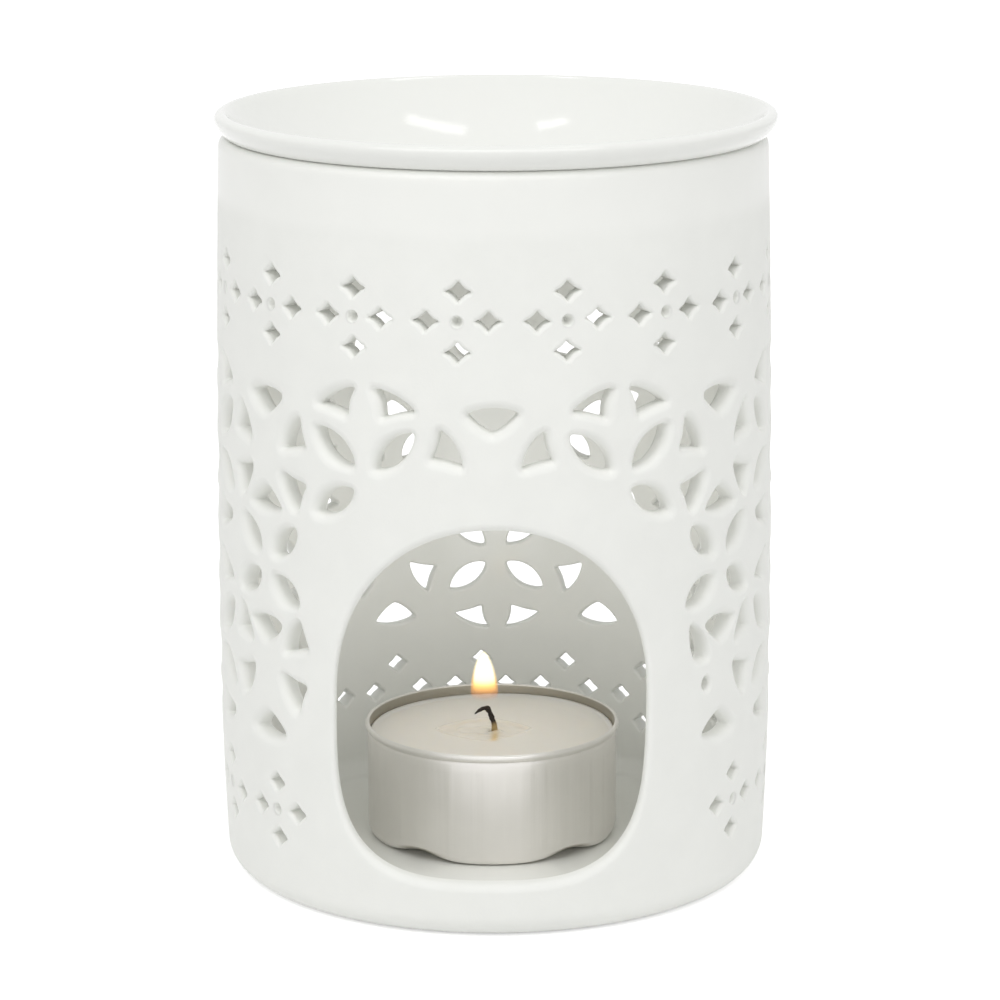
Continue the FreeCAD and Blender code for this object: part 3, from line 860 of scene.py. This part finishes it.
def flame_shell(name, low, high, half_width, widest=0.26):
    """Flame turned about an upright line: half width w (1 - u^1.7)^0.62 above its widest
    level, u the share of the way up from there, and w (1 - v^3)^0.5 below it."""
    rows, columns = 40, 48
    share = (1.0 - np.cos(np.linspace(0.0, math.pi, rows + 2)[1:-1])) / 2.0
    up = np.clip((share - widest) / (1.0 - widest), 0.0, 1.0)
    down = np.clip((widest - share) / widest, 0.0, 1.0)
    width = half_width * (1.0 - up ** 1.7) ** 0.62 * (1.0 - down ** 3) ** 0.5
    turn = full_turn(columns)
    low, high = (np.array([x, CANDLE[1], z]) for x, z in (low, high))
    circle = np.stack([np.cos(turn), np.sin(turn), np.zeros(columns)], -1)
    grid = (low + (high - low) * share[:, None])[:, None] + width[:, None, None] * circle
    points, faces = closed_grid(grid, low, high)
    rise = np.concatenate([np.repeat(share, columns), [0.0, 1.0]])
    return make_piece(name, points, faces, marks={"rise": rise})


# ==== Materials ====

class Nodes:
    """Small helper to lay out a node tree: add nodes, set inputs and join sockets."""

    def __init__(self, tree):
        self.tree = tree
        self.tree.nodes.clear()

    def add(self, kind, settings=None, **inputs):
        node = self.tree.nodes.new("ShaderNode" + kind)
        for name, value in (settings or {}).items():
            setattr(node, name, value)
        self.set(node, **inputs)
        return node

    def set(self, node, **inputs):
        for name, value in inputs.items():
            self.put(node, name.replace("_", " "), value)

    def put(self, node, name, value):
        socket = node.inputs[name]
        if isinstance(value, bpy.types.NodeSocket):
            self.tree.links.new(value, socket)
        else:
            socket.default_value = value

    def through(self, kind, settings, *values):
        """Node with its first inputs filled in order."""
        node = self.add(kind, settings)
        for number, value in enumerate(values):
            self.put(node, number, value)
        return node.outputs[0]

    def math(self, operation, *values):
        return self.through("Math", {"operation": operation}, *values)

    def mark(self, name):
        """Value of one of the piece's own attributes."""
        return self.add("Attribute", {"attribute_name": name}).outputs["Fac"]

    def carried(self, value, to_low, to_high, from_low=0.0, from_high=1.0, way="LINEAR"):
        """Value carried from one range to another."""
        node = self.add("MapRange", {"interpolation_type": way}, Value=value, From_Min=from_low,
                        From_Max=from_high, To_Min=to_low, To_Max=to_high)
        return node.outputs[0]

    def mixed(self, share, first, second, way="MIX"):
        """Colour mixed from two."""
        mix = self.add("Mix", {"data_type": "RGBA", "blend_type": way})
        for number, value in ((0, share), (6, first), (7, second)):
            self.put(mix, number, value)
        return mix.outputs[2]

    def bumped(self, height, strength, distance, **inputs):
        """Normal roughened by a height."""
        bump = self.add("Bump", Strength=strength, Distance=distance, Height=height, **inputs)
        return bump.outputs[0]


def grain_group():
    """Fine grain of fired or cast stuff: a height and a colour tint that vary over the surface."""
    group = bpy.data.node_groups.new("surface_grain", "ShaderNodeTree")
    for name, way, kind, value in (
            ("Vector", "INPUT", "Vector", None), ("Scale", "INPUT", "Float", 1.0),
            ("Tint", "INPUT", "Color", (0.8, 0.8, 0.8, 1.0)), ("Variation", "INPUT", "Float", 0.03),
            ("Color", "OUTPUT", "Color", None), ("Height", "OUTPUT", "Float", None),
            ("Cloud", "OUTPUT", "Float", None)):
        socket = group.interface.new_socket(name=name, in_out=way, socket_type="NodeSocket" + kind)
        if value is not None:
            socket.default_value = value
    nodes = Nodes(group)
    source = group.nodes.new("NodeGroupInput")
    target = group.nodes.new("NodeGroupOutput")
    scale = {"operation": "SCALE"}
    scaled = nodes.add("VectorMath", scale, Vector=source.outputs["Vector"],
                       Scale=source.outputs["Scale"])
    fine = nodes.add("TexNoise", Vector=scaled.outputs[0], Scale=1.0, Detail=6.0, Roughness=0.62)
    wide = nodes.add("TexNoise", Vector=scaled.outputs[0], Scale=0.06, Detail=3.0, Roughness=0.5)
    swing = nodes.carried(wide.outputs["Fac"], -1.0, 1.0, 0.3, 0.7)
    amount = nodes.math("MULTIPLY_ADD", swing, source.outputs["Variation"], 1.0)
    tinted = nodes.add("VectorMath", scale, Vector=source.outputs["Tint"], Scale=amount)
    nodes.set(target, Color=tinted.outputs[0], Height=fine.outputs["Fac"], Cloud=wide.outputs["Fac"])
    return group


GRAIN = grain_group()


def new_material(name, colour, roughness, **shader_inputs):
    """Material with a Principled shader, and its nodes."""
    material = bpy.data.materials.new(name)
    material.use_nodes = True
    material.diffuse_color = (*colour, 1.0)
    nodes = Nodes(material.node_tree)
    shader = nodes.add(
        "BsdfPrincipled", Base_Color=(*colour, 1.0), Roughness=roughness, **shader_inputs)
    nodes.add("OutputMaterial", Surface=shader.outputs[0])
    return material, nodes, shader


def grained_material(name, colour, roughness, scale, variation, **shader_inputs):
    """New material with the grain at its Object coordinates, and those coordinates."""
    material, nodes, shader = new_material(name, colour, roughness, **shader_inputs)
    place = nodes.add("TexCoord").outputs["Object"]
    texture = nodes.tree.nodes.new("ShaderNodeGroup")
    texture.node_tree = GRAIN
    nodes.set(texture, Vector=place, Scale=scale, Tint=(*colour, 1.0), Variation=variation)
    return material, nodes, shader, texture.outputs, place


def plain_material(name, colour, roughness, scale, variation, strength, distance, **shader_inputs):
    """Material of one colour, with its grain as tint and bump."""
    material, nodes, shader, texture, _ = grained_material(
        name, colour, roughness, scale, variation, **shader_inputs)
    nodes.set(shader, Base_Color=texture["Color"],
              Normal=nodes.bumped(texture["Height"], strength, distance))
    return material


def bisque_material():
    """Matte white fired clay outside; where the glaze attribute is 1, the same under gloss."""
    material, nodes, shader, texture, _ = grained_material(
        "bisque_clay", (0.897, 0.904, 0.868), 0.62, 2600.0, 0.012)
    glaze = nodes.mark("glaze")
    relief = nodes.math("MULTIPLY", texture["Height"], nodes.carried(glaze, 1.0, 0.1))
    nodes.set(shader, Base_Color=nodes.mixed(glaze, texture["Color"], (0.935, 0.94, 0.905, 1.0)),
              Roughness=nodes.carried(glaze, 0.62, 0.12), Normal=nodes.bumped(relief, 0.35, 0.00006))
    return material


def cup_material():
    """Satin pressed sheet; where the mark of the cup's inner wall is 1, its colour is darkened
    towards grey-brown: painted shade.
    """
    material, nodes, shader, texture, place = grained_material(
        "pressed_aluminium", (0.82, 0.80, 0.772), 0.4, 900.0, 0.05, Metallic=1.0)
    upright = nodes.through("VectorMath", {"operation": "MULTIPLY"}, place, (1.0, 1.0, 0.03))
    streaks = nodes.add("TexNoise", Vector=upright, Scale=1500.0, Detail=4.0)
    scratched = nodes.bumped(streaks.outputs["Fac"], 0.35, 0.00010)
    # Painted shade: the cup's inner wall is darkened towards grey-brown.
    painted_shade_colour = nodes.mixed(nodes.mark("shaded_within"), texture["Color"], (0.40, 0.375, 0.32, 1.0))
    nodes.set(shader, Base_Color=painted_shade_colour, Roughness=nodes.carried(texture["Cloud"], 0.38, 0.58),
              Normal=nodes.bumped(nodes.mark("pressed"), 1.0, 0.0006, Normal=scratched))
    return material


def wax_material():
    """Pale wax; glossy where the melt attribute is 1, yellow in a narrow strip that runs from the
    wick towards the front.
    """
    material, nodes, shader, texture, _ = grained_material(
        "candle_wax", (0.84, 0.80, 0.73), 0.35, 500.0, 0.03, Subsurface_Weight=0.35,
        Subsurface_Scale=0.004, Subsurface_Radius=(1.0, 0.8, 0.55))
    melt = nodes.mark("melt")
    warm = nodes.mixed(melt, texture["Color"], (0.85, 0.79, 0.69, 1.0))
    nodes.set(shader, Base_Color=nodes.mixed(nodes.mark("yellow_strip"), warm, (0.80, 0.62, 0.36, 1.0)),
              Roughness=nodes.carried(melt, 0.42, 0.08),
              Normal=nodes.bumped(texture["Height"], 0.3, 0.0002))
    return material


def ramped(nodes, mark, stops):
    """Colour that changes with an attribute, from stops of (value, colour)."""
    ramp = nodes.add("ValToRGB", Fac=nodes.mark(mark))
    elements = ramp.color_ramp.elements
    for number, (position, colour) in enumerate(stops):
        element = elements[number] if number < 2 else elements.new(position)
        element.position = position
        element.color = (*colour, 1.0)
    return ramp.outputs["Color"]


def wick_material():
    """Waxed cotton at its foot, charred where the char attribute is 1."""
    material, nodes, shader, texture, _ = grained_material(
        "charred_cotton", (0.012, 0.010, 0.009), 0.85, 2500.0, 0.3)
    colour = ramped(nodes, "char", ((0.03, (0.50, 0.36, 0.16)), (0.75, (0.02, 0.014, 0.010))))
    nodes.set(shader, Base_Color=nodes.mixed(1.0, colour, texture["Color"], "ADD"),
              Normal=nodes.bumped(texture["Height"], 0.8, 0.0002))
    return material


def flame_material(name, stops, strength, cover, clear_below, full_above):
    """Glowing gas: its colour changes with the rise attribute, and its cover fades
    towards its foot and towards its outline."""
    material, nodes, shader = new_material(
        name, (0.0, 0.0, 0.0), 1.0, Specular_IOR_Level=0.0, Emission_Strength=strength)
    foot = nodes.carried(nodes.mark("rise"), 0.0, cover, clear_below, full_above, "SMOOTHSTEP")
    facing = nodes.add("LayerWeight", Blend=0.5).outputs["Facing"]
    edge = nodes.carried(facing, 0.0, 1.0, 1.0, 0.35, "SMOOTHSTEP")
    nodes.set(shader, Emission_Color=ramped(nodes, "rise", stops),
              Alpha=nodes.math("MULTIPLY", foot, edge))
    return material


# ==== Put together ====

def finish_piece(piece, body, material, slot=None, *nodes):
    piece.data.materials.clear()
    piece.data.materials.append(material)
    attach(piece, body)
    if nodes:
        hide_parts(*nodes)


finish_piece(pierced_body(), "body", bisque_material(), "bisque", "pierced_body")
finish_piece(
    oil_dish(), "dish",
    plain_material("white_glaze", (0.868, 0.876, 0.842), 0.07, 220.0, 0.01, 0.15, 0.0002),
    "glaze", "oil_dish")
finish_piece(tealight_cup(), "tealight", cup_material(), "cup_metal", "tealight_cup")
finish_piece(tealight_wax(), "tealight", wax_material(), "wax", "tealight_wax")
finish_piece(tealight_wick(), "tealight", wick_material(), "wick", "tealight_wick")
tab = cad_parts["wick_sustainer"]
tab.data.materials.clear()
tab.data.materials.append(plain_material(
    "pressed_tab", (0.55, 0.55, 0.54), 0.35, 1500.0, 0.08, 0.2, 0.0001, Metallic=1.0))

finish_piece(
    flame_shell("flame_glow", (-1.6, 21.9), (-1.75, 30.3), 2.15), "tealight",
    flame_material("flame_edge", ((0.20, (1.0, 0.34, 0.08)), (0.44, (1.0, 0.62, 0.20)),
                                  (0.75, (1.0, 0.90, 0.60))), 1.2, 0.5, 0.10, 0.40))
finish_piece(
    flame_shell("flame_heart", (-1.6, 22.9), (-1.75, 30.0), 1.75), "tealight",
    flame_material("flame_core", ((0.20, (1.0, 0.46, 0.14)), (0.33, (1.0, 0.68, 0.24)),
                                  (0.46, (1.0, 0.95, 0.80))), 1.9, 1.0, 0.14, 0.40))


# ==== Stage, lights and camera ====

WHITE = (1.0, 1.0, 1.0, 1.0)


def seen_rays(nodes):
    """1 for camera, glossy and transmitted rays, so that each of them meets the white."""
    path = nodes.add("LightPath").outputs
    first = nodes.math("MAXIMUM", path["Is Camera Ray"], path["Is Glossy Ray"])
    return nodes.math("MAXIMUM", first, path["Is Transmission Ray"])


def white_world(strength):
    world = bpy.data.worlds.new("studio")
    bpy.context.scene.world = world
    world.use_nodes = True
    nodes = Nodes(world.node_tree)
    lit, seen = (nodes.add("Background", Color=WHITE, Strength=value).outputs[0]
                 for value in (strength, 1.0))
    nodes.add("OutputWorld", Surface=nodes.through("MixShader", {}, seen_rays(nodes), lit, seen))


def pale_floor():
    """Round floor. Seen directly it has an even glow over its own light, and keeps the shadow."""
    columns = 96
    radii = np.array([60.0, 200.0, 600.0, 1500.0, 3000.0])
    grid = turned(np.stack([radii, np.zeros(len(radii))], 1), columns)
    points = np.concatenate([grid.reshape(-1, 3), [[0.0, 0.0, 0.0]]])
    faces = [bands(len(radii), columns)[:, ::-1], fan(np.arange(columns), len(points) - 1)]
    floor = make_piece("pale_floor", points, faces)
    material = bpy.data.materials.new("pale_floor")
    material.use_nodes = True
    nodes = Nodes(material.node_tree)
    diffuse = nodes.add("BsdfDiffuse", Color=(0.9, 0.9, 0.9, 1.0)).outputs[0]
    strength = nodes.math("MULTIPLY", seen_rays(nodes), 0.5)
    glow = nodes.add("Emission", Color=WHITE, Strength=strength).outputs[0]
    nodes.add("OutputMaterial", Surface=nodes.through("AddShader", {}, diffuse, glow))
    floor.data.materials.append(material)


def lamp(kind, name, place, power):
    data = bpy.data.lights.new(name, kind)
    data.energy = power
    obj = in_scene(name, data)
    obj.location = place
    return obj


def soft_light(name, place, size, power, target=(0.0, 0.0, 0.06)):
    """Oblong area lamp turned to a point in or beside the object."""
    obj = lamp("AREA", name, place, power)
    obj.data.shape = "RECTANGLE"
    obj.data.size, obj.data.size_y = size
    obj.rotation_euler = (Vector(target) - Vector(place)).to_track_quat("-Z", "Y").to_euler()


def candle_light(power):
    """Small round lamp over the tealight: the light of the flame, spread by the white walls."""
    obj = lamp("POINT", "candle_light", (-0.001, 0.002, 0.045), power)
    obj.data.shadow_soft_size = 0.015


def camera_at_photo():
    camera = bpy.data.cameras.new("camera")
    camera.sensor_width = 36.0
    camera.lens = 132.1
    camera.shift_x = 0.00417
    camera.shift_y = -0.03465
    camera.clip_start = 0.01
    forward = Vector((-0.000695, 0.97435, -0.22506)).normalized()
    right = Vector((0.999995, 0.0, -0.003086))
    right = (right - right.dot(forward) * forward).normalized()
    turn = Matrix((right, right.cross(forward), -forward)).transposed().to_4x4()
    obj = in_scene("camera", camera)
    obj.matrix_world = Matrix.Translation((0.000583, -0.533, 0.18295)) @ turn
    bpy.context.scene.camera = obj


white_world(0.61)
pale_floor()
soft_light("high_left", (-0.25, 0.21, 1.256), (0.14, 0.08), 0.14, (-0.25, 0.0, 0.06))
soft_light("high_right", (0.275, 0.24, 1.26), (0.28, 0.11), 0.30, (0.275, 0.0, 0.06))
soft_light("front_wide", (-0.10, -0.90, 1.50), (2.4, 0.9), 14.6)
candle_light(0.0108)
camera_at_photo()
bpy.context.scene.view_settings.view_transform = "Standard"
